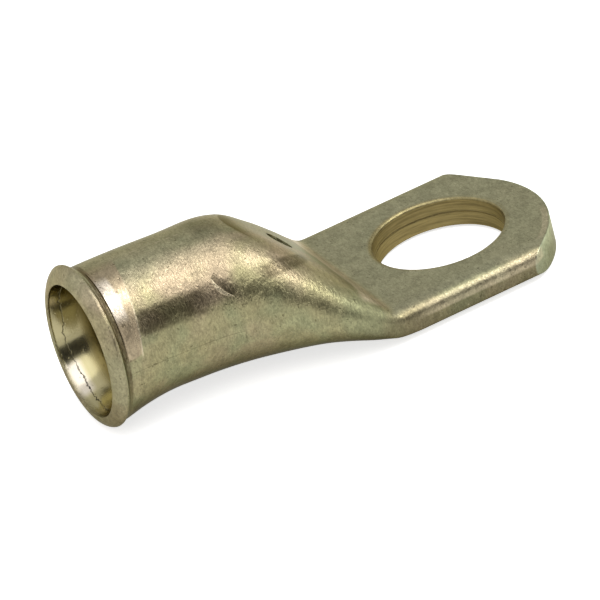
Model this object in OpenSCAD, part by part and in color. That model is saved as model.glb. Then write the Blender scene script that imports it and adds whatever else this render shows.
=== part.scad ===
// Copper cable lug: one length of tube, flared to a lipped mouth at one end,
// pressed flat at the other into a tongue that is pierced for a stud.
// Origin: centre of the stud hole on the contact face. +X to the tip, +Z up.

/* [Tongue] */
// Bore of the stud hole
hole_d = 13; // [8:0.1:14]
// Roll of the pierced edge round the top of the stud hole
rim_r = 0.25; // [0.1:0.05:0.6]
// Full width of the flat tongue
palm_w = 22.5; // [20:0.1:28]
// Thickness of the two pressed walls together
palm_t = 3; // [2.6:0.1:4]
// Depth of the rounded long edges, seen from above
edge_depth = 2; // [1.2:0.1:2.8]
// Stud hole centre to the tip
tip_reach = 10.4; // [9:0.1:13]
// Radius of the cut end
tip_r = 12; // [10:0.1:14]
// Sideways offset of the middle of the cut end
tip_side = -0.7; // [-1:0.1:0]
// Angle the cut corner on the +Y side falls back from square
corner_cut = 29; // [20:1:36]

/* [Barrel] */
// Outside diameter of the tube
barrel_od = 14.3; // [13.4:0.1:15.6]
// Bore for the conductor
bore_d = 11.4; // [10:0.1:12]
// Depth of the round bore behind the lip edge
bore_depth = 11; // [9:0.5:12]
// Stud hole centre to the edge of the lip
mouth_reach = 37; // [35:0.1:46]
// Height of the barrel axis over the contact face at the lip edge
mouth_rise = 8.4; // [8:0.05:10]
// Fall of the barrel axis towards the tongue
barrel_tilt = 4; // [2:0.5:6]

/* [Mouth] */
// Outside diameter of the lip
lip_od = 16.2; // [15.6:0.1:18]
// How far the lip stands ahead of its widest edge
lip_nose = 1; // [0.6:0.1:1.6]
// Rounding of the lip into the mouth
lip_round = 0.12; // [0.1:0.02:0.4]
// Diameter of the inner edge of the lip
mouth_d = 13.2; // [12:0.1:14]
// Diameter the mouth closes in to behind the lip
gather_d = 12.4; // [12:0.1:13]
// Depth of the funnel from the lip edge into the round bore
funnel_depth = 5.4; // [4:0.1:6.5]
// Depth of the back face of the lip down to the neck
lip_step = 0.34; // [0.2:0.02:0.5]
// Drop of the lip centre below the barrel axis
lip_drop = 0.56; // [0:0.02:0.8]
// Extra half width of the neck where it meets the lip
neck_gain = 0.38; // [0.1:0.02:0.5]
// Extra half height of the neck where it meets the lip
neck_lift = 0.64; // [0.1:0.02:0.8]
// Drop of the neck centre where it meets the lip
neck_drop = 0.9; // [0:0.05:1]
// Length over which the neck flares out behind the lip
flare_l = 7.2; // [4:0.1:9]

/* [Transition] */
// Angle of the pressed ramp down to the tongue
ramp_angle = 48.5; // [42:0.5:54]
// Stud hole centre to the foot of the ramp
ramp_foot = 10.3; // [9.8:0.1:12]
// Radius over the crest of the ramp
crest_r = 8.5; // [5:0.1:9.5]
// Radius in the crease at the foot of the ramp
crease_r = 1.6; // [0.6:0.1:2]
// Radius along the underside where the barrel runs out
heel_r = 47; // [30:1:80]
// Share of half the height the widest line sinks by
belly = 0.08; // [0:0.02:0.3]
// Stud hole centre to where the tube starts to widen
widen_from = 27.5; // [26:0.5:29]
// Stud hole centre to where the full width is reached
widen_to = 11.5; // [10:0.1:12]

/* [Sight hole] */
// Bore of the sight hole on the ramp
sight_d = 2.8; // [1.5:0.1:4]
// Stud hole centre to the sight hole, along X
sight_at = 15.8; // [14.5:0.1:17]

/* [Output] */
// Node to draw

/* [Hidden] */
$fn = 96;
wall = (barrel_od - bore_d) / 2;
half_w = palm_w / 2;
barrel_r = barrel_od / 2;
lip_r = lip_od / 2;
mouth_r = mouth_d / 2;
bore_r = bore_d / 2;
tip_centre = tip_reach - tip_r;
through = palm_t + 2;

// Points in a quarter ring.
quarter = 12;
// Clearance of the pressed cavity inside the round bore.
seat = 0.25;
// Least height left open where the two walls close on each other.
gap_end = 0.3;

// Where the lean of the rings starts and ends, from square to the barrel to square to the tongue.
lean_from = -mouth_reach + 5;
lean_to = -mouth_reach + 13;
// Where the flat of the upper wall starts and reaches its full width.
top_from = -widen_from + 4.6;
top_to = -widen_to + 0.5;
// Where the flat of the lower wall starts and reaches its full width.
low_from = -widen_from + 9.8;
low_to = -widen_to + 3.4;
// Where the widest line starts to sink and where it is lowest.
sink_from = -widen_from + 1.5;
sink_to = -widen_from + 9.5;
// How flat the face of the lip is: 1 is a quarter ellipse, 2 a cone.
lip_slack = 1.25;
// How sharply the neck flares: 1 is a straight cone.
flare_bend = 1.8;
// Width of the shoulder that is always left beside a flat.
least_shoulder = 0.3;

// Straight lines the long profile is drawn from.
slope = tan(barrel_tilt);
pitch = tan(ramp_angle);
crown_up = barrel_r / cos(barrel_tilt);
function axis_z(x) = mouth_rise - (x + mouth_reach) * slope;
function crown_line(x) = axis_z(x) + crown_up;
function keel_line(x) = axis_z(x) - crown_up;
function ramp_line(x) = palm_t - (x + ramp_foot) * pitch;

// Crest fillet between the crown and the ramp.
crest_lift = crest_r / cos(barrel_tilt);
crest_gap = crest_lift - crest_r / cos(ramp_angle);
crest_x = (ramp_line(0) - crown_line(0) + crest_gap) / (pitch - slope);
crest_z = crown_line(crest_x) - crest_lift;
crest_from = crest_x + crest_r * sin(barrel_tilt);
crest_to = crest_x + crest_r * sin(ramp_angle);

// Crease fillet between the ramp and the tongue.
crease_z = palm_t + crease_r;
crease_x = (crease_r / cos(ramp_angle) - crease_r) / pitch - ramp_foot;
crease_from = crease_x - crease_r * sin(ramp_angle);

// Heel fillet between the keel and the contact face.
heel_x = (keel_line(0) + heel_r / cos(barrel_tilt) - heel_r) / slope;
heel_from = heel_x - heel_r * sin(barrel_tilt);

function ease(t) = let (c = min(1, max(0, t))) c * c * (3 - 2 * c);
function between(x, from, to) = ease((x - from) / (to - from));
function bow(r, d) = sqrt(max(0, r * r - d * d));
function top_z(x) =
    x < crest_from ? crown_line(x)
    : x < crest_to ? crest_z + bow(crest_r, x - crest_x)
    : x < crease_from ? ramp_line(x)
    : x < crease_x ? crease_z - bow(crease_r, x - crease_x)
    : palm_t;
function low_z(x) =
    x < heel_from ? keel_line(x)
    : x < heel_x ? heel_r - bow(heel_r, x - heel_x)
    : 0;
function half(x) = barrel_r + (half_w - barrel_r) * between(x, -widen_from, -widen_to);
function flare(x) = pow(max(0, 1 - (x + mouth_reach) / flare_l), flare_bend);
function lean(x) = barrel_tilt * (1 - between(x, lean_from, lean_to));
function flat_top(x) = (half_w - edge_depth) * between(x, top_from, top_to);
function flat_low(x) = (half_w - edge_depth) * between(x, low_from, low_to);
function sink(x) = belly * between(x, sink_from, sink_to);

// Half a ring, right to left: an elliptic shoulder on each side of a flat.
function half_ring(w, f, h) = concat(
    [for (i = [0 : quarter - 1]) [f + (w - f) * cos(90 * i / quarter), h * sin(90 * i / quarter)]],
    [for (i = [quarter : -1 : 1]) [-f - (w - f) * cos(90 * i / quarter), h * sin(90 * i / quarter)]]);

// Ring at x with its centre at z and leaning by a, belly line lowered by s.
function ring(x, z, a, s, w, h, ft, fl) =
    let (
        upper = half_ring(w, min(ft, w - least_shoulder), h + s),
        lower = half_ring(w, min(fl, w - least_shoulder), h - s),
        pts = concat([for (p = upper) [p[0], p[1] - s]], [for (p = lower) [-p[0], -p[1] - s]])
    )
    [for (p = pts) [x + p[1] * sin(a), p[0], z + p[1] * cos(a)]];

function skin_ring(x) =
    let (
        g = flare(x),
        a = lean(x),
        h0 = (top_z(x) - low_z(x)) / 2,
        h = h0 * cos(barrel_tilt) / cos(barrel_tilt - a) + g * neck_lift,
        z = (top_z(x) + low_z(x)) / 2 - g * neck_drop
    )
    ring(x, z, a, sink(x) * h, half(x) + g * neck_gain, h, flat_top(x), flat_low(x));

// The cavity keeps the wall square to the ramp.
inset = wall + seat;
function roof(x) = top_z(x) - inset / cos(ramp_angle * between(x, crest_from, crest_to));
function floor_z(x) = low_z(x) + inset;
function cavity_ring(x) =
    let (h = (roof(x) - floor_z(x)) / 2)
    ring(x, (roof(x) + floor_z(x)) / 2, 0, sink(x) * h, half(x) - inset, h, flat_top(x), flat_low(x));
cavity_from = -mouth_reach + bore_depth - 1;
cavity_to = -ramp_foot - (inset * (1 + 1 / cos(ramp_angle)) + gap_end - palm_t) / pitch;

function span(from, to, n) = [for (i = [0 : n - 1]) from + (to - from) * i / n];

module loft(rings) {
    n = len(rings);
    m = len(rings[0]);
    sides = [for (i = [0 : n - 2], j = [0 : m - 1]) let (k = (j + 1) % m) each [
        [i * m + j, (i + 1) * m + k, i * m + k],
        [i * m + j, (i + 1) * m + j, (i + 1) * m + k]]];
    caps = [[for (j = [0 : m - 1]) j], [for (j = [m - 1 : -1 : 0]) (n - 1) * m + j]];
    polyhedron([for (r = rings) each r], concat(sides, caps), convexity = 6);
}

module tube_outside() {
    stations = concat(
        span(-mouth_reach, -mouth_reach + flare_l, 8),
        span(-mouth_reach + flare_l, crest_from, 8),
        span(crest_from, crest_to, 8),
        span(crest_to, crease_from, 7),
        span(crease_from, crease_x, 4),
        span(crease_x, low_to, 2),
        [low_to, tip_reach + 3]);
    loft([for (x = stations) skin_ring(x)]);
}

module cavity() {
    stations = concat(
        span(cavity_from, crest_from, 4),
        span(crest_from, crest_to, 6),
        span(crest_to, cavity_to, 6),
        [cavity_to]);
    loft([for (x = stations) cavity_ring(x)]);
}

// Round parts of the mouth: s runs down the barrel from the lip edge.
module on_axis(drop) {
    translate([-mouth_reach, 0, mouth_rise - drop]) rotate([0, 90 + barrel_tilt, 0]) children();
}

module lip() {
    face_r = mouth_r + lip_round;
    face = [for (a = [90 : -9 : 0])
        [face_r + (lip_r - face_r) * pow(cos(a), lip_slack), -lip_nose * pow(sin(a), lip_slack)]];
    back = [for (a = [22.5 : 22.5 : 90]) [lip_r - lip_step * (1 - cos(a)), lip_step * sin(a)]];
    core = [[bore_r - 1, lip_step], [bore_r - 1, -lip_nose]];
    on_axis(lip_drop) rotate_extrude() polygon(concat(core, face, back));
}

module funnel() {
    face_r = mouth_r + lip_round;
    round = [for (a = [0 : 11.25 : 90]) [face_r - lip_round * sin(a), lip_round * (1 - cos(a)) - lip_nose]];
    open = [[0, funnel_depth], [0, -lip_nose - 1], [face_r, -lip_nose - 1]];
    throat = [[gather_d / 2, lip_step], [bore_r - lip_drop - 0.1, funnel_depth]];
    on_axis(lip_drop) rotate_extrude() polygon(concat(open, round, throat));
}

module bore() {
    on_axis(0) translate([0, 0, -lip_nose - 1]) cylinder(r = bore_r, h = bore_depth + lip_nose + 1);
}

module sight_hole() {
    translate([-sight_at, 0, top_z(-sight_at)]) rotate([0, ramp_angle, 0])
        translate([0, 0, -wall - 1.5]) cylinder(d = sight_d, h = wall + 4);
}

module stud_hole() {
    roll = [for (a = [0 : 15 : 90]) [hole_d / 2 + rim_r * (1 - sin(a)), palm_t - rim_r * (1 - cos(a))]];
    translate([0, 0, -1]) cylinder(d = hole_d, h = through);
    rotate_extrude() polygon(concat(
        [[hole_d / 2 - 1, palm_t - rim_r], [hole_d / 2 - 1, palm_t + 1], [hole_d / 2 + rim_r, palm_t + 1]],
        roll));
}

// Arc across the tip, run into a straight cut at the +Y corner.
module tip_trim() {
    arc_end = tip_side + tip_r * sin(corner_cut) + 0.4;
    difference() {
        translate([tip_centre, -half_w - 1, -1]) cube([tip_r + 10, half_w + 1 + arc_end, through]);
        translate([tip_centre, tip_side, -2]) cylinder(r = tip_r, h = through + 2);
    }
    translate([tip_centre, tip_side, -1]) rotate([0, 0, corner_cut])
        translate([tip_r - 0.03, -10, 0]) cube([20, 30, through]);
}

module cable_lug() {
    color([0.72, 0.66, 0.48])
    difference() {
        union() {
            tube_outside();
            lip();
        }
        cavity();
        bore();
        funnel();
        sight_hole();
        stud_hole();
        tip_trim();
    }
}

cable_lug();
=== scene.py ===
import math

import bmesh
import bpy
from bpy.props import FloatProperty, FloatVectorProperty, IntProperty, PointerProperty
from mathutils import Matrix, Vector


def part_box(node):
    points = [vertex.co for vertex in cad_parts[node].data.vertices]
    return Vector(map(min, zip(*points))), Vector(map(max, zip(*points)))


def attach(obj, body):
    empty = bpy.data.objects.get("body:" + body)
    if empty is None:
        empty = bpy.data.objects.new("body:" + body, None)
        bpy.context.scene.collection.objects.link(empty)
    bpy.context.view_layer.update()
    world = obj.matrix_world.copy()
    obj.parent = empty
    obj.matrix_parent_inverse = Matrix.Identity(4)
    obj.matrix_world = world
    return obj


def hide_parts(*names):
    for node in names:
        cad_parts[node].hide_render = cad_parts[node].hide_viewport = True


bl_info = {
    "name": "Cable Lug",
    "version": (1, 0, 0),
    "blender": (4, 5, 0),
    "location": "3D View > Sidebar > Cable Lug",
    "description": "Models a pressed tube cable lug, its plated finish and its studio",
    "category": "Add Mesh",
}

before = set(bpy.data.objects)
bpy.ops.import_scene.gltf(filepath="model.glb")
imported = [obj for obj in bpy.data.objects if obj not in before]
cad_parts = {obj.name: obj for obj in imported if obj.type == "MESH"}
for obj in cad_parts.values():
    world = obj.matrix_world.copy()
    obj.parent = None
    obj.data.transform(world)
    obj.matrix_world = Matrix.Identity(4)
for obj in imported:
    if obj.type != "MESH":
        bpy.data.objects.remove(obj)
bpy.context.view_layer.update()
CAD_LOW, CAD_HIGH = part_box("cable_lug")

MM = 0.001


# -------------------------------- settings

class LugSizes(bpy.types.PropertyGroup):
    hole_d: FloatProperty(name="Stud hole", description="Bore of the stud hole",
                          default=13.0 * MM, unit='LENGTH')
    rim_roll: FloatProperty(name="Rim roll", description="Roll of the pierced edge",
                            default=0.34 * MM, unit='LENGTH')
    rim_side: FloatProperty(name="Rim roll offset", description="How far the roll is struck off centre",
                            default=0.16 * MM, unit='LENGTH')
    palm_t: FloatProperty(name="Tongue thickness", description="Two pressed walls together",
                          default=3.0 * MM, unit='LENGTH')
    edge_depth: FloatProperty(name="Edge depth", description="Depth of the rounded long edges",
                              default=2.0 * MM, unit='LENGTH')
    edge_shelf: FloatProperty(name="Edge shelf", description="How far the upper edge starts further in",
                              default=1.25 * MM, unit='LENGTH')
    edge_in: FloatProperty(name="Edge set in", description="How far the pressed edge sits in",
                           default=0.25 * MM, unit='LENGTH')
    edge_power: FloatProperty(name="Edge squareness", description="Two is an ellipse, more is squarer",
                              default=3.6, min=2.0, max=6.0)
    ramp_roll: FloatProperty(name="Ramp roll", description="Share of the ramp's flat that is rolled off",
                             default=0.5, min=0.0, max=0.9)
    ramp_swell: FloatProperty(name="Ramp swell", description="Crown of the ramp along its middle",
                              default=0.35 * MM, unit='LENGTH')
    tip_r: FloatProperty(name="Tip radius", description="Radius of the cut end",
                         default=12.0 * MM, unit='LENGTH')
    tip_side: FloatProperty(name="Tip offset", description="Sideways offset of the cut end",
                            default=-0.7 * MM, unit='LENGTH')
    corner_cut: FloatProperty(name="Corner cut", description="Angle of the cut corner",
                              default=math.radians(29), subtype='ANGLE')
    barrel_d: FloatProperty(name="Barrel", description="Outside diameter of the tube",
                            default=14.3 * MM, unit='LENGTH')
    bore_d: FloatProperty(name="Bore", description="Bore for the conductor",
                          default=11.4 * MM, unit='LENGTH')
    bore_depth: FloatProperty(name="Bore depth", description="Depth of the round bore",
                              default=11.0 * MM, unit='LENGTH')
    mouth_reach: FloatProperty(name="Mouth reach", description="Stud hole to the edge of the lip",
                               default=37.0 * MM, unit='LENGTH')
    mouth_rise: FloatProperty(name="Mouth height", description="Axis over the contact face at the lip",
                              default=8.4 * MM, unit='LENGTH')
    barrel_tilt: FloatProperty(name="Barrel tilt", description="Fall of the axis towards the tongue",
                               default=math.radians(4), subtype='ANGLE')
    lip_d: FloatProperty(name="Lip", description="Outside diameter of the lip",
                         default=16.2 * MM, unit='LENGTH')
    lip_nose: FloatProperty(name="Lip nose", description="How far the lip stands ahead",
                            default=1.0 * MM, unit='LENGTH')
    lip_round: FloatProperty(name="Lip rounding", description="Rounding into the mouth",
                             default=0.12 * MM, unit='LENGTH')
    lip_step: FloatProperty(name="Lip step", description="Back of the lip down to the neck",
                            default=0.34 * MM, unit='LENGTH')
    lip_drop: FloatProperty(name="Lip drop", description="Drop of the lip below the axis",
                            default=0.56 * MM, unit='LENGTH')
    crest_drop: FloatProperty(name="Crest drop", description="Further drop of the lip's front edge",
                              default=0.24 * MM, unit='LENGTH')
    mouth_d: FloatProperty(name="Mouth", description="Inner edge of the lip",
                           default=13.2 * MM, unit='LENGTH')
    neck_gain: FloatProperty(name="Neck width", description="Extra half width of the neck",
                             default=0.38 * MM, unit='LENGTH')
    neck_lift: FloatProperty(name="Neck height", description="Extra half height of the neck",
                             default=0.64 * MM, unit='LENGTH')
    neck_drop: FloatProperty(name="Neck drop", description="Drop of the neck at the lip",
                             default=0.9 * MM, unit='LENGTH')
    flare_l: FloatProperty(name="Flare length", description="Length of the neck's flare",
                           default=7.2 * MM, unit='LENGTH')
    ramp_angle: FloatProperty(name="Ramp angle", description="Pressed ramp down to the tongue",
                              default=math.radians(48.5), subtype='ANGLE')
    ramp_foot: FloatProperty(name="Ramp foot", description="Stud hole to the foot of the ramp",
                             default=10.3 * MM, unit='LENGTH')
    crest_r: FloatProperty(name="Crest radius", description="Radius over the crest",
                           default=8.5 * MM, unit='LENGTH')
    crease_r: FloatProperty(name="Crease radius", description="Radius at the foot of the ramp",
                            default=1.6 * MM, unit='LENGTH')
    heel_r: FloatProperty(name="Heel radius", description="Radius along the underside",
                          default=47.0 * MM, unit='LENGTH')
    belly: FloatProperty(name="Belly", description="Share of half the height the widest line sinks by",
                         default=0.08, min=0.0, max=0.3)
    widen_from: FloatProperty(name="Widen from", description="Stud hole to where the tube widens",
                              default=27.5 * MM, unit='LENGTH')
    widen_to: FloatProperty(name="Widen to", description="Stud hole to the full width",
                            default=11.5 * MM, unit='LENGTH')
    sight_d: FloatProperty(name="Sight hole", description="Bore of the sight hole",
                           default=2.8 * MM, unit='LENGTH')
    sight_at: FloatProperty(name="Sight hole place", description="Stud hole to the sight hole",
                            default=15.8 * MM, unit='LENGTH')
    around: IntProperty(name="Columns", description="Columns round the tube", default=96)


class LugFinish(bpy.types.PropertyGroup):
    plate: FloatVectorProperty(name="Plating", description="Dull olive bronze plating",
                               default=(0.30, 0.273, 0.148), subtype='COLOR')
    # Besides the plating's own rose patches, this tint is painted stronger on the shoulders as a highlight
    # tint where the soft box is mirrored.
    rose: FloatVectorProperty(name="Rose tint", description="Where the plating turns pinkish",
                              default=(0.37, 0.292, 0.195), subtype='COLOR')
    green: FloatVectorProperty(name="Green tint", description="Where the plating turns greenish",
                               default=(0.262, 0.27, 0.15), subtype='COLOR')
    flat: FloatVectorProperty(name="Tongue", description="Greyer plating on the pressed flat",
                              default=(0.37, 0.36, 0.235), subtype='COLOR')
    # Also painted as highlights on the tongue's long side, along the edge of the tool patch and on the fold
    # of the nick, besides the real scratches and the lighter band on the cut end's rim.
    bright: FloatVectorProperty(name="Rubbed metal", description="Where the plating is rubbed bright",
                                default=(0.62, 0.53, 0.36), subtype='COLOR')
    cut: FloatVectorProperty(name="Cut end", description="Sheared end of the tongue",
                             default=(0.54, 0.59, 0.39), subtype='COLOR')
    pierced: FloatVectorProperty(name="Pierced wall", description="Brown wall of the stud hole",
                                 default=(0.17, 0.135, 0.055), subtype='COLOR')
    inside: FloatVectorProperty(name="Inside", description="Brassy plating inside the mouth",
                                default=(0.42, 0.375, 0.21), subtype='COLOR')
    # Painted shade: the darker olive that the mouth's wall is painted with further in.
    deep: FloatVectorProperty(name="Deep inside", description="Olive stain deeper in the tube",
                              default=(0.22, 0.175, 0.065), subtype='COLOR')
    # Painted highlight: a bright reflection painted low on the far side of the mouth's wall.
    painted_highlight: FloatVectorProperty(name="Rubbed spot", description="Where the mouth's wall is rubbed",
                                default=(0.7, 0.63, 0.54), subtype='COLOR')
    burr: FloatVectorProperty(name="Burr line", description="Dark line of the burr in the mouth",
                              default=(0.02, 0.014, 0.006), subtype='COLOR')
    # Partly painted shadow under the back of the lip, partly dirt in the groove.
    groove: FloatVectorProperty(name="Groove", description="Brown stain in the groove behind the lip",
                                default=(0.11, 0.085, 0.045), subtype='COLOR')
    # Painted highlight: the flank's pinkish highlight painted at the foot of the ramp.
    crease_highlight: FloatVectorProperty(name="Crease", description="Pinkish metal at the foot of the ramp",
                                default=(0.8, 0.68, 0.5), subtype='COLOR')
    # Painted highlight: the near-white glint painted on the neck's flare.
    painted_neck_glint: FloatVectorProperty(name="Polished neck", description="Where the tool polished the neck",
                                  default=(0.88, 0.84, 0.8), subtype='COLOR')
    # Besides real stains (the seam, pits and the parting line), this colour paints shade along the keel, on
    # the barrel's top near the crest, deep in the mouth and behind the nick, and a painted dark reflection
    # band down the flank.
    stain_and_shade: FloatVectorProperty(name="Stain", description="Dark stain in grooves and creases",
                               default=(0.05, 0.04, 0.02), subtype='COLOR')
    edge_on: FloatVectorProperty(name="Edge-on tint", description="Tint of the metal seen edge-on",
                                 default=(0.66, 0.63, 0.50), subtype='COLOR')
    roughness: FloatProperty(name="Roughness", description="Satin of the plating",
                             default=0.31, min=0.0, max=1.0, subtype='FACTOR')
    grain: FloatProperty(name="Grain", description="Strength of the drawn and etched grain",
                         default=1.0, min=0.0, max=3.0)


class StudioSettings(bpy.types.PropertyGroup):
    lens: FloatProperty(name="Lens", description="Focal length in millimetres", default=407.5)
    floor: FloatVectorProperty(name="Floor", description="Plain pale floor",
                               default=(0.9, 0.9, 0.9), subtype='COLOR')
    white: FloatProperty(name="White floor", description="What keeps the floor white to the camera",
                         default=0.7, min=0.0, max=1.0)
    mirrored: FloatProperty(name="Mirrored floor", description="The same, as the metal mirrors it",
                            default=0.35, min=0.0, max=1.0)
    ambient: FloatProperty(name="Room light", description="Light from all around",
                           default=0.5, min=0.0, max=1.0)
    soft_power: FloatProperty(name="Soft box", description="Power of the large soft box",
                              default=0.83, unit='POWER')
    spark_power: FloatProperty(name="Small lamp", description="Power of the small lamp",
                               default=0.30, unit='POWER')
    flag: FloatProperty(name="Dark card", description="Brightness of the dark card",
                        default=0.04, min=0.0, max=1.0)
    back: FloatProperty(name="Grey card", description="Brightness of the grey card at the back",
                        default=0.72, min=0.0, max=1.0)


# -------------------------------- drawing helpers

def deselect():
    if bpy.context.object and bpy.context.object.mode != 'OBJECT':
        bpy.ops.object.mode_set(mode='OBJECT')
    bpy.ops.object.select_all(action='DESELECT')


def pick(obj):
    deselect()
    obj.select_set(True)
    bpy.context.view_layer.objects.active = obj
    return obj


def settle(obj):
    pick(obj)
    bpy.ops.object.transform_apply(location=True, rotation=True, scale=True)
    return obj


def choose(obj, test, what='VERT'):
    """Selects, in edit mode, the vertices, edges or faces that pass the test."""
    bpy.ops.mesh.select_mode(type=what)
    bpy.ops.mesh.select_all(action='DESELECT')
    bm = bmesh.from_edit_mesh(obj.data)
    for item in {'VERT': bm.verts, 'EDGE': bm.edges, 'FACE': bm.faces}[what]:
        if test(item):
            item.select_set(True)
    bm.select_flush_mode()
    bmesh.update_edit_mesh(obj.data)


def apply_modifier(obj, kind, **values):
    pick(obj)
    mod = obj.modifiers.new(kind.lower(), kind)
    for key, value in values.items():
        setattr(mod, key, value)
    bpy.ops.object.modifier_apply(modifier=mod.name)


def cut(obj, cutter):
    """Takes the cutter's shape out of the piece and throws the cutter away."""
    apply_modifier(obj, 'BOOLEAN', object=cutter, operation='DIFFERENCE', solver='EXACT')
    bpy.data.objects.remove(cutter)


def block(place, sides, turn=0.0):
    deselect()
    bpy.ops.mesh.primitive_cube_add(size=1, location=place, rotation=(0, 0, turn), scale=sides)
    return settle(bpy.context.object)


def rod(place, radius, depth, sides, tip=0.0):
    deselect()
    bpy.ops.mesh.primitive_cylinder_add(vertices=sides, radius=radius, depth=depth, location=place,
                                        rotation=(0, tip, 0))
    return settle(bpy.context.object)


# -------------------------------- long profile

ARC_STEPS = 60
FLAT_STEPS = 40

# The mouth's wall in millimetres: how far behind the lip edge, its radius, and its drop below the axis.
# It is a nearly straight taper as far as 1.7, and then bends into the bore.
MOUTH_WALL = ((-0.8, 6.56, 0.79), (-0.3, 6.44, 0.7), (0.2, 6.33, 0.61), (0.7, 6.22, 0.52),
              (1.2, 6.12, 0.43), (1.7, 6.01, 0.34), (2.0, 5.93, 0.28), (2.3, 5.84, 0.2),
              (2.6, 5.77, 0.12), (2.9, 5.72, 0.05), (3.2, 5.7, 0.0))


def ease(t):
    c = min(1.0, max(0.0, t))
    return c * c * (3 - 2 * c)


def between(x, start, end):
    return ease((x - start) / (end - start))


def bow(r, d):
    return math.sqrt(max(0.0, r * r - d * d))


def steps(start, end, n):
    return [start + (end - start) * i / n for i in range(n)]


class Profile:
    """The lines that the lug is pressed to, and the rings drawn on them, in metres."""

    def __init__(self, size):
        self.size = size
        self.mouth = -size.mouth_reach
        self.reach = CAD_HIGH.x
        self.half_w = CAD_HIGH.y
        self.barrel_r = size.barrel_d / 2
        self.bore_r = size.bore_d / 2
        self.slope = math.tan(size.barrel_tilt)
        self.pitch = math.tan(size.ramp_angle)
        self.crown_up = self.barrel_r / math.cos(size.barrel_tilt)
        lift = size.crest_r / math.cos(size.barrel_tilt)
        gap = lift - size.crest_r / math.cos(size.ramp_angle)
        self.crest_x = (self.ramp(0) - self.crown(0) + gap) / (self.pitch - self.slope)
        self.crest_z = self.crown(self.crest_x) - lift
        self.crest_from = self.crest_x + size.crest_r * math.sin(size.barrel_tilt)
        self.crest_to = self.crest_x + size.crest_r * math.sin(size.ramp_angle)
        self.crease_z = size.palm_t + size.crease_r
        self.crease_x = -size.ramp_foot \
            + (size.crease_r / math.cos(size.ramp_angle) - size.crease_r) / self.pitch
        self.crease_from = self.crease_x - size.crease_r * math.sin(size.ramp_angle)
        self.heel_x = (self.keel(0) + size.heel_r / math.cos(size.barrel_tilt) - size.heel_r) / self.slope
        self.heel_from = self.heel_x - size.heel_r * math.sin(size.barrel_tilt)
        self.wall = self.barrel_r - self.bore_r
        self.inset = self.wall + 0.25 * MM

    def axis(self, x):
        return self.size.mouth_rise - (x - self.mouth) * self.slope

    def crown(self, x):
        return self.axis(x) + self.crown_up

    def keel(self, x):
        return self.axis(x) - self.crown_up

    def ramp(self, x):
        return self.size.palm_t - (x + self.size.ramp_foot) * self.pitch

    def top(self, x):
        if x < self.crest_from:
            return self.crown(x)
        if x < self.crest_to:
            return self.crest_z + bow(self.size.crest_r, x - self.crest_x)
        if x < self.crease_from:
            part = (x - self.crest_to) / (self.crease_from - self.crest_to)
            return self.ramp(x) + self.size.ramp_swell * math.sin(math.pi * part)
        if x < self.crease_x:
            return self.crease_z - bow(self.size.crease_r, x - self.crease_x)
        return self.size.palm_t

    def low(self, x):
        if x < self.heel_from:
            return self.keel(x)
        if x < self.heel_x:
            return self.size.heel_r - bow(self.size.heel_r, x - self.heel_x)
        return 0.0

    def widening(self, x, start_later=0.0, end_later=0.0):
        """0 on the barrel, 1 at the full width; the start and end may lie some millimetres later."""
        return between(x, start_later * MM - self.size.widen_from, end_later * MM - self.size.widen_to)

    def square(self, x):
        """0 on the round tube, 1 where the long edges are pressed square."""
        return between(x, -self.size.widen_to - 3.5 * MM, -self.size.widen_to + 3.5 * MM)

    def half(self, x):
        return self.barrel_r - self.size.edge_in * self.square(x) \
            + (self.half_w - self.barrel_r) * self.widening(x)

    def flare(self, x):
        return max(0.0, 1 - (x - self.mouth) / self.size.flare_l) ** 1.8

    def lean(self, x):
        return self.size.barrel_tilt * (1 - between(x, self.mouth + 5 * MM, self.mouth + 13 * MM))

    def flat_top(self, x):
        """Half width of the flat on top, which is partly rolled off down the ramp."""
        foot = -self.size.ramp_foot
        rolled = between(x, self.crest_x, self.crest_x + 4 * MM) * (1 - between(x, foot - 2.2 * MM, foot))
        return (self.half_w - self.size.edge_depth - self.size.edge_shelf * self.square(x)) \
            * self.widening(x, 4.6, 0.5) * (1 - self.size.ramp_roll * rolled)

    def flat_low(self, x):
        return (self.half_w - self.size.edge_depth) * self.widening(x, 9.8, 3.4)

    def sink(self, x):
        """Share of half the height that the widest line lies below the middle."""
        return self.size.belly * self.widening(x, 1.5, -6.5) + 0.4 * self.square(x)

    def quarter(self, w, flat, h, n, power):
        """n + 1 points from the widest line to the middle of the flat, closer together on the shoulder."""
        flat = min(flat, w - 0.3 * MM)
        turns = [math.pi / 2 * i / ARC_STEPS for i in range(ARC_STEPS)]
        fine = [(flat + (w - flat) * math.cos(t) ** (2 / power), h * math.sin(t) ** (2 / power))
                for t in turns] + [(flat, h)]
        if flat > 0:
            fine += [(flat * (1 - i / FLAT_STEPS), h) for i in range(1, FLAT_STEPS + 1)]
        dense = 1 + 1.5 * flat / w
        run = [0.0]
        for i in range(1, len(fine)):
            run.append(run[-1] + math.dist(fine[i], fine[i - 1]) * (dense if i <= ARC_STEPS else 1.0))
        points, j = [], 0
        for k in range(n + 1):
            want = run[-1] * k / n
            while j < len(run) - 2 and run[j + 1] < want:
                j += 1
            t = (want - run[j]) / (run[j + 1] - run[j])
            points.append((fine[j][0] + (fine[j + 1][0] - fine[j][0]) * t,
                           fine[j][1] + (fine[j + 1][1] - fine[j][1]) * t))
        return points

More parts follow.
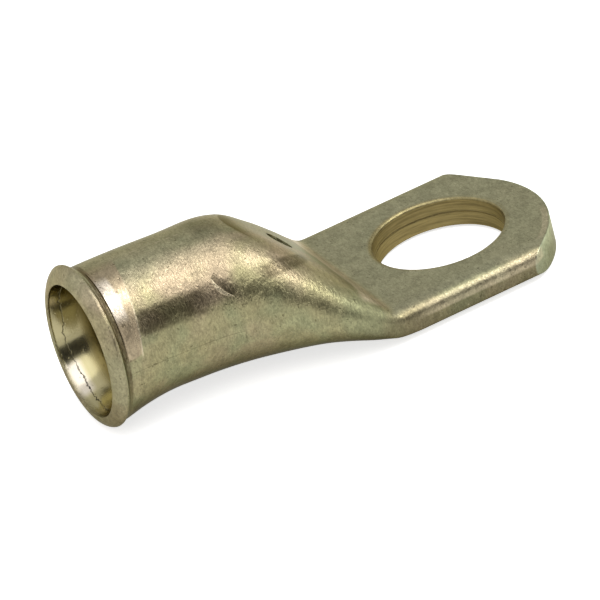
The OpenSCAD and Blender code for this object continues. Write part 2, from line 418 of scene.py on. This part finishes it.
    def ring(self, x, middle, lean, sink, half_w, half_h):
        """A pressed ring at x: its widest line lies sink below its middle, and it leans by an angle."""
        n, square = self.size.around // 4, self.square(x)
        power_up, power_down = 2 + (self.size.edge_power - 2) * square, 2 + 0.3 * square
        up = self.quarter(half_w, self.flat_top(x), half_h + sink, n, power_up)
        down = self.quarter(half_w, self.flat_low(x), half_h - sink, n, power_down)
        points = up[:n] + [(-y, v) for y, v in reversed(up[1:])]
        points += [(-y, -v) for y, v in down[:n]] + [(y, -v) for y, v in reversed(down[1:])]
        return [Vector((x + (v - sink) * math.sin(lean), y, middle + (v - sink) * math.cos(lean)))
                for y, v in points]

    def skin(self, x):
        """A ring of the outside, flared near the mouth."""
        flare, lean, tilt = self.flare(x), self.lean(x), self.size.barrel_tilt
        half_h = (self.top(x) - self.low(x)) / 2 * math.cos(tilt) / math.cos(tilt - lean)
        half_h += flare * self.size.neck_lift
        middle = (self.top(x) + self.low(x)) / 2 - flare * self.size.neck_drop
        return self.ring(x, middle, lean, self.sink(x) * half_h, self.half(x) + flare * self.size.neck_gain,
                         half_h)

    def hollow(self, x):
        """A ring of the flattened cavity, one wall and its clearance inside the skin."""
        lean = self.size.ramp_angle * between(x, self.crest_from, self.crest_to)
        roof = self.top(x) - self.inset / math.cos(lean)
        floor = self.low(x) + self.inset
        middle, half_h = (roof + floor) / 2, (roof - floor) / 2
        return self.ring(x, middle, 0.0, self.sink(x) * half_h, self.half(x) - self.inset, half_h)

    def turned(self, s, radius, drop):
        """A round ring square to the barrel, s behind the lip edge and dropped below the axis."""
        tilt = self.size.barrel_tilt
        along = Vector((math.cos(tilt), 0, -math.sin(tilt)))
        up = Vector((math.sin(tilt), 0, math.cos(tilt)))
        middle = Vector((self.mouth, 0, self.size.mouth_rise - drop)) + along * s
        turns = [2 * math.pi * k / self.size.around for k in range(self.size.around)]
        return [middle + up * (radius * math.sin(t)) + Vector((0, radius * math.cos(t), 0)) for t in turns]

    def outer_rings(self):
        size, neck = self.size, self.mouth + self.size.flare_l
        tongue = -7.6 * MM
        at = steps(self.reach + 3 * MM, tongue, 26) + steps(tongue, self.crease_x, 5)
        at += steps(self.crease_x, self.crease_from, 7) + steps(self.crease_from, self.crest_to, 9)
        at += steps(self.crest_to, self.crest_from, 14) + steps(self.crest_from, neck, 14)
        at += steps(neck, self.mouth + size.lip_step + 0.05 * MM, 15)
        return [self.skin(x) for x in at + [self.mouth + size.lip_step + 0.04 * MM]]

    def lip_rings(self):
        """Up the back of the lip, over its nose and round its inner edge."""
        size, rings = self.size, []
        lip_r, crest_r = size.lip_d / 2, size.mouth_d / 2 + size.lip_round
        for degrees in (90, 60, 30):
            a = math.radians(degrees)
            rings.append(self.turned(size.lip_step * math.sin(a), lip_r - size.lip_step * (1 - math.cos(a)),
                                     size.lip_drop))
        for i in range(15):
            a = math.radians(90 * i / 14)
            out = math.cos(a) ** 1.25 if i < 14 else 0.0
            ahead = math.sin(a) ** 1.25
            rings.append(self.turned(-size.lip_nose * ahead, crest_r + (lip_r - crest_r) * out,
                                     size.lip_drop + size.crest_drop * ahead))
        for degrees in (45, 90):
            a = math.radians(degrees)
            rings.append(self.turned(size.lip_round * (1 - math.cos(a)) - size.lip_nose,
                                     crest_r - size.lip_round * math.sin(a),
                                     size.lip_drop + size.crest_drop))
        return rings

    def inner_rings(self):
        """Down the mouth's wall, along the round bore and through the cavity to where the walls meet."""
        size = self.size
        rings = [self.turned(s * MM, radius * MM, drop * MM) for s, radius, drop in MOUTH_WALL]
        at = steps(4.0 * MM, size.bore_depth, 8) + [size.bore_depth]
        rings += [self.turned(s, self.bore_r, 0.0) for s in at]
        first = self.mouth + size.bore_depth + 0.55 * MM
        closed = self.inset * (1 + 1 / math.cos(size.ramp_angle)) + 0.3 * MM
        last = -size.ramp_foot - (closed - size.palm_t) / self.pitch
        return rings + [self.hollow(x) for x in steps(first, last, 12) + [last]]


class MESH_OT_lug_body(bpy.types.Operator):
    """Draw a straight tube, press it to the lug's form, then pierce and trim it"""
    bl_idname = "mesh.lug_body"
    bl_label = "Lug Body"
    bl_options = {'REGISTER', 'UNDO'}

    def execute(self, context):
        sizes = context.scene.lug_sizes
        profile = Profile(sizes)
        rings = profile.outer_rings() + profile.lip_rings() + profile.inner_rings()
        lug = self.draw_tube(sizes, len(rings))
        self.press(lug, sizes, rings)
        apply_modifier(lug, 'SUBSURF', levels=1, render_levels=1)
        self.pierce_stud_hole(lug, sizes)
        self.pierce_sight_hole(lug, sizes, profile)
        self.trim(lug, sizes, profile)
        pick(lug)
        bpy.ops.object.shade_smooth_by_angle(angle=math.radians(32))
        lug.data.materials.clear()
        lug.data.materials.append(plated_copper(context.scene.lug_finish, sizes))
        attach(lug, "root")
        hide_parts("cable_lug")
        return {'FINISHED'}

    def draw_tube(self, sizes, stations):
        """A closed tube along x, with its stations one metre apart until it is pressed."""
        deselect()
        bpy.ops.mesh.primitive_cylinder_add(vertices=sizes.around, radius=sizes.barrel_d / 2,
                                            depth=stations - 1, end_fill_type='NGON',
                                            rotation=(0, math.pi / 2, 0))
        lug = settle(bpy.context.object)
        lug.name = "lug_body"
        bpy.ops.object.mode_set(mode='EDIT')
        choose(lug, lambda e: abs(e.verts[0].co.x - e.verts[1].co.x) > 1, 'EDGE')
        bpy.ops.mesh.subdivide(number_cuts=stations - 2)
        bpy.ops.object.mode_set(mode='OBJECT')
        return lug

    def press(self, lug, sizes, rings):
        left = -(len(rings) - 1) / 2
        for v in lug.data.vertices:
            station = round(v.co.x - left)
            column = round(math.atan2(v.co.z, v.co.y) / (2 * math.pi) * sizes.around) % sizes.around
            v.co = rings[station][column]
        pick(lug)
        bpy.ops.object.mode_set(mode='EDIT')
        bpy.ops.mesh.select_all(action='SELECT')
        bpy.ops.mesh.normals_make_consistent(inside=False)
        bpy.ops.object.mode_set(mode='OBJECT')

    def pierce_stud_hole(self, lug, sizes):
        """A punch that widens towards its top, so that it leaves the edge rolled, more on one side."""
        r, roll, top = sizes.hole_d / 2, sizes.rim_roll, sizes.palm_t
        below, above, proud = 1 * MM, 1 * MM, 0.003 * MM
        toward = Vector((-0.83, 0.55, 0))
        deselect()
        bpy.ops.mesh.primitive_circle_add(vertices=192, radius=r, fill_type='NGON', location=(0, 0, -below))
        punch = settle(bpy.context.object)
        bpy.ops.object.mode_set(mode='EDIT')
        bpy.ops.mesh.select_all(action='SELECT')
        place, wide, roll_steps = Vector((0, 0, -below)), r, 7
        for i in range(roll_steps + 1):
            a = math.radians(90 * i / roll_steps)
            new_wide = r + roll * (1 - math.cos(a))
            new_place = toward * (sizes.rim_side * (new_wide - r) / roll)
            new_place.z = top - roll + (roll + proud) * math.sin(a)
            bpy.ops.mesh.extrude_region_move(TRANSFORM_OT_translate={"value": new_place - place})
            bpy.ops.transform.resize(value=(new_wide / wide, new_wide / wide, 1), center_override=new_place)
            place, wide = new_place, new_wide
        bpy.ops.mesh.extrude_region_move(TRANSFORM_OT_translate={"value": (0, 0, above)})
        bpy.ops.mesh.select_all(action='SELECT')
        bpy.ops.mesh.normals_make_consistent(inside=False)
        bpy.ops.object.mode_set(mode='OBJECT')
        cut(lug, punch)

    def pierce_sight_hole(self, lug, sizes, profile):
        at = Vector((-sizes.sight_at, 0, profile.top(-sizes.sight_at)))
        out = Vector((math.sin(sizes.ramp_angle), 0, math.cos(sizes.ramp_angle)))
        deep, proud = profile.wall + 1.5 * MM, 2.5 * MM
        cut(lug, rod(at + out * (proud - deep) / 2, sizes.sight_d / 2, deep + proud, 64, sizes.ramp_angle))

    def trim(self, lug, sizes, profile):
        """Shears the end to an arc on the near side and to a straight cut at the far corner."""
        middle, tall, deep, long = sizes.palm_t / 2, 6 * MM, 10 * MM, 30 * MM
        centre = Vector((profile.reach - sizes.tip_r, sizes.tip_side, middle))
        overlap = 0.4 * MM
        arc_end = sizes.tip_side + sizes.tip_r * math.sin(sizes.corner_cut) + overlap
        low = -profile.half_w - 1 * MM
        blade = block((centre.x + long / 2, (low + arc_end) / 2, middle), (long, arc_end - low, tall))
        cut(blade, rod(centre, sizes.tip_r, 2 * tall, 360))
        cut(lug, blade)
        away = Vector((math.cos(sizes.corner_cut), math.sin(sizes.corner_cut), 0))
        inside = 0.03 * MM
        face = centre + away * (sizes.tip_r - inside)
        cut(lug, block(face + away * deep / 2, (deep, long, tall), sizes.corner_cut))


# -------------------------------- finishes

class Value:
    """A node socket that takes part in Python sums: each sum adds its Math node."""

    def __init__(self, board, socket):
        self.board, self.socket = board, socket

    def sum_of(self, kind, *values):
        return self.board.add("ShaderNodeMath", {"operation": kind}, values)

    def __add__(self, other):
        return self.sum_of('ADD', self, other)

    def __radd__(self, other):
        return self.sum_of('ADD', other, self)

    def __sub__(self, other):
        return self.sum_of('SUBTRACT', self, other)

    def __rsub__(self, other):
        return self.sum_of('SUBTRACT', other, self)

    def __mul__(self, other):
        return self.sum_of('MULTIPLY', self, other)

    def __rmul__(self, other):
        return self.sum_of('MULTIPLY', other, self)

    def __truediv__(self, other):
        return self.sum_of('DIVIDE', self, other)

    def __rtruediv__(self, other):
        return self.sum_of('DIVIDE', other, self)

    def __abs__(self):
        return self.sum_of('ABSOLUTE', self)

    def root(self):
        return self.sum_of('SQRT', self)

    def most(self, other):
        return self.sum_of('MAXIMUM', self, other)

    def turn(self, other):
        return self.sum_of('ARCTAN2', self, other)

    def also(self, name):
        """Another output of the same node."""
        return Value(self.board, self.socket.node.outputs[name])

    def over(self, start, end, low=0.0, high=1.0):
        """Eases from low at start to high at end."""
        return self.board.add("ShaderNodeMapRange", {"interpolation_type": 'SMOOTHSTEP'},
                              {"Value": self, "From Min": start, "From Max": end,
                               "To Min": low, "To Max": high})

    def under(self, start, end):
        """Eases from 1 at start to 0 at end."""
        return self.over(start, end, 1.0, 0.0)

    def near(self, centre, width):
        """1 at the centre, easing to 0 one width away."""
        return abs(self - centre).under(0.0, width)

    def within(self, start, end, soft):
        """1 from start to end, easing to 0 over soft outside them."""
        return self.over(start - soft, start) * self.under(end, end + soft)


class Board:
    """A node board, with one way to put any node on it."""

    def __init__(self, owner):
        owner.use_nodes = True
        self.tree = owner.node_tree
        self.tree.nodes.clear()

    def add(self, kind, settings=None, values=(), out=0):
        node = self.tree.nodes.new(kind)
        for key, value in (settings or {}).items():
            setattr(node, key, value)
        for key, value in values.items() if isinstance(values, dict) else enumerate(values):
            socket = node.inputs[key]
            if isinstance(value, Value):
                self.tree.links.new(value.socket, socket)
            elif socket.type == 'RGBA':
                socket.default_value = (*value[:3], 1.0)
            else:
                socket.default_value = value
        return Value(self, node.outputs[out]) if node.outputs else None

    def noise(self, place, scale, detail=3.0, rough=0.5, twist=0.0):
        return self.add("ShaderNodeTexNoise", {}, {"Vector": place, "Scale": scale, "Detail": detail,
                                                   "Roughness": rough, "Distortion": twist})

    def stretch(self, place, scale, turn=(0, 0, 0), move=(0, 0, 0)):
        return self.add("ShaderNodeMapping", {}, {"Vector": place, "Scale": scale, "Rotation": turn,
                                                  "Location": move})

    def blend(self, amount, first, second, kind='MIX'):
        return self.add("ShaderNodeMix", {"data_type": 'RGBA', "blend_type": kind},
                        {0: amount, 6: first, 7: second}, out=2)

    def seen(self):
        """1 for the camera, and 1 as seen mirrored or through glass."""
        path = self.add("ShaderNodeLightPath")
        return path, path.also("Is Glossy Ray").most(path.also("Is Transmission Ray"))


class Places:
    """Where a point of the lug lies, as sums of its Object coordinates in millimetres and degrees."""

    def __init__(self, b, sizes):
        place = b.add("ShaderNodeTexCoord", out="Object")
        self.mm = b.add("ShaderNodeVectorMath", {"operation": 'SCALE'}, {"Vector": place, "Scale": 1 / MM})
        self.x = b.add("ShaderNodeSeparateXYZ", {}, [self.mm])
        self.y, self.z = self.x.also("Y"), self.x.also("Z")
        self.off = abs(self.y)
        self.barrel_places(sizes)
        hole_r = sizes.hole_d / 2 / MM
        self.hole = (self.x * self.x + self.y * self.y).root()
        self.wall = self.hole.under(hole_r, hole_r + 0.06) * self.z.under(2.72, 2.9)
        self.rim = self.hole.under(hole_r + 0.45, hole_r + 0.6) * self.z.within(2.8, 2.96, 0.06)
        self.skin = 1.0 - self.inner.most(self.wall)
        self.tongue = self.z.over(2.55, 2.98) * self.x.over(-10.9, -10.0) * self.z.under(3.1, 3.6)
        self.keel = self.z - (self.x * -1.0 - 18.0).most(0.0) * 0.066

    def barrel_places(self, sizes):
        """Along the barrel from the lip edge, up from its axis, and round it from the near side."""
        tilt = sizes.barrel_tilt
        back, rise = self.x + sizes.mouth_reach / MM, self.z - sizes.mouth_rise / MM
        self.along = back * math.cos(tilt) - rise * math.sin(tilt)
        self.up = back * math.sin(tilt) + rise * math.cos(tilt)
        self.turn = self.up.turn(self.y * -1.0) * math.degrees(1.0)
        dropped = self.up + self.along.over(0.0, 3.2, sizes.lip_drop / MM, 0.0) \
            + self.along.over(-1.0, 0.0, sizes.crest_drop / MM, 0.0)
        mouth_r = sizes.mouth_d / 2 / MM
        self.inner = (self.y * self.y + dropped * dropped).root().under(mouth_r - 0.08, mouth_r + 0.02) \
            * self.along.under(15.0, 18.0)


class Plating:
    """The lug's surface, laid on in order: its colour, and its relief in hundredths of a millimetre."""

    def __init__(self, b, finish, sizes):
        self.b, self.finish, self.sizes = b, finish, sizes
        self.at = at = Places(b, sizes)
        self.mottle = b.noise(at.mm, 0.85, 4.0, 0.6)
        self.calm = at.skin.over(0.0, 1.0, 0.04, 1.0) * finish.grain * (1.0 - at.tongue * 0.55)
        self.relief = 0.0
        self.rough = finish.roughness + (self.mottle - 0.5) * 0.12 + at.tongue * 0.04 + at.wall * 0.12
        self.colour = finish.plate
        for coat in (self.tints, self.stud_hole, self.sheared_end, self.mouth, self.stains_and_painted_light, self.painted_dark_band,
                     self.tool_patch, self.nick, self.grain, self.marks):
            coat()

    def paint(self, amount, colour):
        self.colour = self.b.blend(amount, self.colour, colour)

    def tints(self):
        """Olive bronze with random rose and green patches: rose strongest on the shoulders, where it is
        partly a painted highlight tint from the soft box mirrored there, green mostly off the shoulders and
        low down, and grey on the pressed tongue and along the top of the barrel.
        """
        at, b, finish = self.at, self.b, self.finish
        drift = b.noise(at.mm, 0.17, 2.0)
        drift_two = b.noise(b.stretch(at.mm, (1, 1, 1), move=(31, 7, 12)), 0.21, 2.0)
        shoulder = at.turn.within(28.0, 62.0, 22.0) * at.along.under(26.0, 30.0)
        # Partly painted highlight: the rose is made stronger where the soft box is mirrored on the
        # shoulders.
        self.paint(drift.over(0.36, 0.62) * (shoulder * 0.6 + 0.35), finish.rose)
        self.paint(drift_two.over(0.42, 0.64) * shoulder.over(0.0, 1.0, 0.8, 0.15), finish.green)
        self.paint((at.tongue * 0.9).most(at.z.over(13.2, 15.0) * 0.5), finish.flat)

    def stud_hole(self):
        """The drawn brown wall, the seam of the two pressed walls, and the rolled edge."""
        at, b, finish = self.at, self.b, self.finish
        drawn = b.noise(b.stretch(at.mm, (0.22, 0.22, 4.2)), 1.0, 3.0, 0.6)
        seam = at.z.near(1.5 + (self.mottle - 0.5) * 0.3, 0.12) * at.wall
        self.paint(at.wall, b.blend(drawn.over(0.3, 0.7), finish.pierced, [c * 1.8 for c in finish.pierced]))
        self.paint(seam * 0.4, finish.stain_and_shade)
        self.paint(at.rim * 0.7, [c * 1.7 for c in finish.pierced])
        self.relief = self.relief + drawn * at.wall * 2.2 - seam * 4.0

    def sheared_end(self):
        """The bare end of the tongue, and a lighter band along the near part of its top rim."""
        at, corner = self.at, self.sizes.corner_cut
        tip_r = self.sizes.tip_r / MM
        end_x, end_y = at.x + (tip_r - CAD_HIGH.x / MM), at.y - self.sizes.tip_side / MM
        end_r = (end_x * end_x + end_y * end_y).root()
        tip = at.x.over(0.0, 3.0)
        rim = end_r.within(tip_r - 0.65, tip_r - 0.25, 0.15) * at.z.over(2.8, 2.95)
        rim = rim * at.y.within(-8.5, -4.5, 1.0)
        arc = end_r.over(tip_r - 0.1, tip_r - 0.03) * at.y.under(6.3, 6.5)
        flat = (end_x * math.cos(corner) + end_y * math.sin(corner)).over(tip_r - 0.1, tip_r - 0.04)
        self.paint(rim * tip * 0.4, self.finish.bright)
        self.paint(arc.most(flat) * tip * 0.9, self.finish.cut)

    def mouth(self):
        """The lip's tint, the brassy wall with painted shade darkening it inwards, a painted highlight low
        on its far side, and the burr line.
        """
        at, b, finish = self.at, self.b, self.finish
        wander = (b.noise(at.mm, 0.42, 1.0) - 0.5) * 1.3 + (b.noise(at.mm, 3.2, 2.0) - 0.5) * 0.5
        burr = abs(at.along - 0.25 - wander).under(0.02, 0.06) * at.inner
        self.paint(at.along.under(0.0, 0.3) * (1.0 - at.inner) * 0.3, finish.rose)
        # Painted shade: the wall turns to the darker olive further into the mouth.
        self.paint(at.inner, b.blend(at.along.over(1.2, 2.5), finish.inside, finish.deep))
        # Painted shade, darker still deep in the bore.
        self.paint(at.inner * at.along.over(11.0, 16.0) * 0.7, finish.stain_and_shade)
        # Painted highlight: a bright reflection low on the far side of the wall.
        self.paint(at.inner * at.turn.within(-136.0, -113.0, 8.0) * at.along.over(0.3, 1.1, 0.8, 0.0),
                   finish.painted_highlight)
        self.paint(burr * self.mottle.over(0.3, 0.6, 0.95, 0.5), finish.burr)
        self.relief = self.relief - burr * 3.0
        self.rough = self.rough - at.inner * at.along.over(1.6, 2.4, 0.14, -0.06)

    def stains_and_painted_light(self):
        """Stain and painted shadow in the groove behind the lip, painted shade along the keel and on the top
        of the barrel near the crest, and painted highlights at the foot of the ramp and on the tongue's long
        side.
        """
        at, finish = self.at, self.finish
        groove = abs(at.along - at.up * 0.035 - 0.72).under(0.2, 0.4) * (1.0 - at.inner)
        keel = at.keel.under(0.6, 4.0) * at.skin * at.x.over(-15.0, -9.0, 0.9, 0.6)
        crease_highlight = at.z.within(3.3, 4.8, 0.9) * at.x.within(-14.2, -10.9, 0.9) * at.off.under(8.6, 9.8)
        crest = at.up.over(6.4, 7.3) * at.along.within(13.0, 19.0, 2.0) * at.skin
        edge = at.z.within(1.75, 2.5, 0.3) * at.off.over(9.9, 10.3) * at.x.over(-9.0, -6.0)
        # Partly painted shadow under the back of the lip, partly dirt in the groove.
        self.paint(groove * self.mottle.over(0.3, 0.55, 0.5, 0.95) * at.turn.over(-50.0, 0.0, 0.35, 1.0),
                   finish.groove)
        # Painted shade along the underside.
        self.paint(keel * at.along.over(0.6, 1.4, 0.4, 1.0), finish.stain_and_shade)
        # Painted highlight at the foot of the ramp.
        self.paint(crease_highlight * 0.65, finish.crease_highlight)
        # Painted shade on the top of the barrel near the crest.
        self.paint(crest * 0.45, finish.stain_and_shade)
        # Painted highlight on the tongue's long side.
        self.paint(edge * 0.4, finish.bright)

    def painted_dark_band(self):
        """A painted dark reflection band down the flank, before and behind the nick."""
        at = self.at
        first = at.turn.within(19.0, 32.0, 6.0) * at.along.within(3.6, 9.5, 1.2)
        second = at.turn.within(25.0, 32.0, 4.0) * at.along.within(16.5, 21.0, 1.5) * 0.9
        # Painted dark reflection, in the stain colour.
        self.paint(first.most(second) * at.skin * self.mottle.over(0.3, 0.6, 0.35, 0.8), self.finish.stain_and_shade)

    def tool_patch(self):
        """Where the tool rolled the neck: smoother, and ending in a sharp line; the glint on the flare and
        the light along that line are painted highlights.
        """
        at, finish = self.at, self.finish
        edge = at.turn * 0.0175 + 2.48 - at.along
        patch = edge.over(-0.05, 0.1) * (at.turn - (at.along - 1.3) * (at.along - 1.3) * 1.6).over(0.5, 3.5)
        patch = patch * at.along.over(0.9, 1.1) * at.skin * at.turn.under(78.0, 95.0)
        line = abs(edge - 0.02).under(0.03, 0.13) * at.turn.within(6.0, 60.0, 8.0) * at.skin
        glint_mask = patch * at.along.within(1.0, 2.1, 0.4) * at.turn.within(38.0, 66.0, 10.0)
        self.paint(patch * 0.8, finish.rose)
        # Painted highlight: the near-white glint on the flare.
        self.paint(glint_mask * 0.25, finish.painted_neck_glint)
        # Painted highlight along the patch's edge.
        self.paint(line * 0.7, finish.bright)
        self.relief = self.relief + edge * patch * 13.0
        self.calm = self.calm * (1.0 - patch * 0.6)
        self.rough = self.rough - patch * 0.05

    def nick(self):
        """A nick from a fingernail-shaped blow, with a painted highlight where it folds over and a painted
        shadow behind.
        """
        at = self.at
        across = at.turn * math.radians(1.0) * (self.sizes.barrel_d / 2 / MM) - 3.681
        along = at.along - 11.975
        lie = math.radians(31.44)
        u = along * math.sin(lie) - across * math.cos(lie)
        v = along * math.cos(lie) + across * math.sin(lie)
        belly = (1.0 - u * u / 1.93).most(0.0)
        here = belly.over(0.0, 0.08) * at.along.within(10.5, 13.5, 0.3) * at.skin
        flap = (v + belly * 0.60).over(-0.03, 0.03) * (v + belly * 0.22).under(-0.03, 0.05) * here
        hollow = (v + belly * 0.22).over(-0.03, 0.03) * v.under(-0.05, 0.75) * here
        # Painted highlight on the fold.
        self.paint(flap * 0.8, self.finish.bright)
        # Painted shadow behind the fold.
        self.paint(hollow * 0.6, self.finish.stain_and_shade)
        self.relief = self.relief + flap * 4.0 - hollow * 5.0

    def grain(self):
        """The drawn and etched grain, in the colour and in the relief."""
        at, b = self.at, self.b
        speckle = b.noise(at.mm, 5.0, 3.0, 0.65)
        strokes = b.noise(b.stretch(at.mm, (4.4, 1.7, 1.7)), 1.0, 2.0, 0.55, 1.1)
        peel = b.noise(at.mm, 1.25, 2.0, 0.5)
        shade = self.mottle.over(0.25, 0.75, 0.84, 1.14) * speckle.over(0.25, 0.75, 0.86, 1.14)
        shade = shade * strokes.over(0.3, 0.7, 0.84, 1.16) * at.skin + (1.0 - at.skin)
        self.colour = b.blend(1.0, self.colour, shade, 'MULTIPLY')
        self.relief = self.relief + (strokes * 5.0 + speckle * 0.9 + peel * 2.6) * self.calm

    def marks(self):
        """Fine hairs and pits, the parting line of the dies, and the scratches along the top."""
        at, b = self.at, self.b
        lie = b.stretch(at.mm, (0.9, 1.7, 1.7), turn=(0.3, 0.2, 0.5))
        hairs = abs(b.noise(lie, 0.8, 2.0, 0.5, 1.6) - 0.5).under(0.0, 0.007)
        hairs = hairs * b.noise(at.mm, 0.55, 1.0).over(0.5, 0.6)
        pits = b.noise(at.mm, 2.6, 1.0).over(0.70, 0.74)
        parting = at.up.near(-1.05, 0.09) * at.along.within(1.0, 12.9, 0.3)
        parting = parting.most(at.along.near(13.0, 0.1) * at.up.within(-2.3, -1.1, 0.2)) * at.skin
        ticks = (at.y + 0.1).near(0.0, 0.1) * at.along.within(4.6, 11.0, 0.3) * at.up.over(0.0, 1.0)
        ticks = ticks * at.skin * b.noise(at.mm, 1.6, 2.0).over(0.46, 0.52)
        self.paint((hairs * 0.35).most(ticks * 0.5) * at.skin, self.finish.bright)
        self.paint((pits * 0.5).most(parting * 0.3) * at.skin, self.finish.stain_and_shade)
        self.relief = self.relief - hairs * at.skin * 0.7 - pits * 1.0 - parting * 1.4 + ticks * 1.4


def plated_copper(finish, sizes):
    material = bpy.data.materials.new("plated_copper")
    b = Board(material)
    coat = Plating(b, finish, sizes)
    bump = b.add("ShaderNodeBump", {}, {"Strength": 1.0, "Distance": 0.01 * MM, "Height": coat.relief})
    shader = b.add("ShaderNodeBsdfPrincipled", {}, {"Base Color": coat.colour, "Metallic": 1.0,
                                                    "Roughness": coat.rough, "Specular Tint": finish.edge_on,
                                                    "Normal": bump})
    b.add("ShaderNodeOutputMaterial", {}, [shader])
    return material


# -------------------------------- studio

CAMERA_PLACE = (-0.2122566, -0.5323106, 0.3096452)
CAMERA_TURN = (60.7576, 13.1219, -27.5433)


class SCENE_OT_lug_studio(bpy.types.Operator):
    """Set up the plain floor, the soft lights and the camera"""
    bl_idname = "scene.lug_studio"
    bl_label = "Lug Studio"
    bl_options = {'REGISTER', 'UNDO'}

    def execute(self, context):
        studio = context.scene.lug_studio
        context.scene.view_settings.view_transform = 'Standard'
        self.floor(studio)
        self.lamp("soft_box", (0.05, -0.14, 0.38), 0.58, 0.42, studio.soft_power)
        self.lamp("small_lamp", (0.215, -0.09, 0.31), 0.14, 0.14, studio.spark_power)
        self.card("dark_card", 0.35, (12.0, 38.0), (-125.0, -60.0), studio.flag)
        self.card("camera_card", 0.75, (14.0, 42.0), (-128.0, -92.0), studio.flag)
        self.card("grey_card", 0.36, (12.0, 68.0), (20.0, 120.0), studio.back)
        self.world(context.scene, studio)
        self.camera(context.scene, studio)
        return {'FINISHED'}

    def floor(self, studio):
        deselect()
        clear = 0.02 * MM
        bpy.ops.mesh.primitive_plane_add(size=3.0, location=(0, 0, CAD_LOW.z - clear))
        floor = settle(bpy.context.object)
        floor.name = "floor"
        floor.data.materials.append(self.pale(studio))

    def pale(self, studio):
        material = bpy.data.materials.new("pale_floor")
        b = Board(material)
        camera, mirrored = b.seen()
        matt = b.add("ShaderNodeBsdfDiffuse", {}, {"Color": studio.floor})
        white = camera * studio.white + mirrored * studio.mirrored
        glow = b.add("ShaderNodeEmission", {}, {"Strength": white})
        b.add("ShaderNodeOutputMaterial", {}, [b.add("ShaderNodeAddShader", {}, [matt, glow])])
        return material

    def lamp(self, name, place, wide, deep, power):
        deselect()
        aim = (Vector((-0.013, 0, 0.005)) - Vector(place)).to_track_quat('-Z', 'Y')
        bpy.ops.object.light_add(type='AREA', location=place, rotation=aim.to_euler())
        lamp = bpy.context.object
        lamp.name = name
        lamp.data.shape = 'RECTANGLE'
        lamp.data.size, lamp.data.size_y = wide, deep
        lamp.data.energy = power

    def card(self, name, radius, heights, turns, strength):
        """A curved card between two heights and two turns, in degrees; only the metal mirrors it."""
        bottom, top = (radius * math.tan(math.radians(d)) for d in heights)
        deselect()
        bpy.ops.mesh.primitive_cylinder_add(vertices=72, radius=radius, depth=top - bottom,
                                            end_fill_type='NOTHING', location=(0, 0, (bottom + top) / 2))
        card = settle(bpy.context.object)
        card.name = name

        def outside(face):
            middle = face.calc_center_median()
            return not turns[0] < math.degrees(math.atan2(middle.y, middle.x)) < turns[1]

        bpy.ops.object.mode_set(mode='EDIT')
        choose(card, outside, 'FACE')
        bpy.ops.mesh.delete(type='FACE')
        bpy.ops.object.mode_set(mode='OBJECT')
        material = bpy.data.materials.new(name)
        b = Board(material)
        b.add("ShaderNodeOutputMaterial", {}, [b.add("ShaderNodeEmission", {}, {"Strength": strength})])
        card.data.materials.append(material)
        card.visible_camera = card.visible_diffuse = card.visible_shadow = False

    def world(self, scene, studio):
        world = bpy.data.worlds.new("studio")
        scene.world = world
        b = Board(world)
        camera, mirrored = b.seen()
        strength = camera.most(mirrored).over(0.0, 1.0, studio.ambient, 1.0)
        glow = b.add("ShaderNodeBackground", {}, {"Color": (1, 1, 1), "Strength": strength})
        b.add("ShaderNodeOutputWorld", {}, [glow])

    def camera(self, scene, studio):
        deselect()
        turn = tuple(math.radians(d) for d in CAMERA_TURN)
        bpy.ops.object.camera_add(location=CAMERA_PLACE, rotation=turn)
        camera = bpy.context.object
        camera.name = "camera"
        camera.data.lens = studio.lens
        camera.data.sensor_width = 36.0
        camera.data.clip_start = 0.01
        camera.data.clip_end = 10.0
        scene.camera = camera


class VIEW3D_PT_cable_lug(bpy.types.Panel):
    """Lists the lug's pieces, its sizes and its finish"""
    bl_idname = "VIEW3D_PT_cable_lug"
    bl_label = "Cable Lug"
    bl_space_type = 'VIEW_3D'
    bl_region_type = 'UI'
    bl_category = "Cable Lug"

    def draw(self, context):
        scene = context.scene
        column = self.layout.column()
        for name in ("mesh.lug_body", "scene.lug_studio"):
            column.operator(name)
        for group in (scene.lug_sizes, scene.lug_finish, scene.lug_studio):
            box = self.layout.box()
            for key in group.__annotations__:
                box.prop(group, key)


CLASSES = (LugSizes, LugFinish, StudioSettings, MESH_OT_lug_body, SCENE_OT_lug_studio,
           VIEW3D_PT_cable_lug)


def register():
    for cls in CLASSES:
        bpy.utils.register_class(cls)
    bpy.types.Scene.lug_sizes = PointerProperty(type=LugSizes)
    bpy.types.Scene.lug_finish = PointerProperty(type=LugFinish)
    bpy.types.Scene.lug_studio = PointerProperty(type=StudioSettings)


def unregister():
    del bpy.types.Scene.lug_studio
    del bpy.types.Scene.lug_finish
    del bpy.types.Scene.lug_sizes
    for cls in reversed(CLASSES):
        bpy.utils.unregister_class(cls)


def main():
    register()
    bpy.ops.scene.lug_studio()
    bpy.ops.mesh.lug_body()


if __name__ == "__main__":
    main()
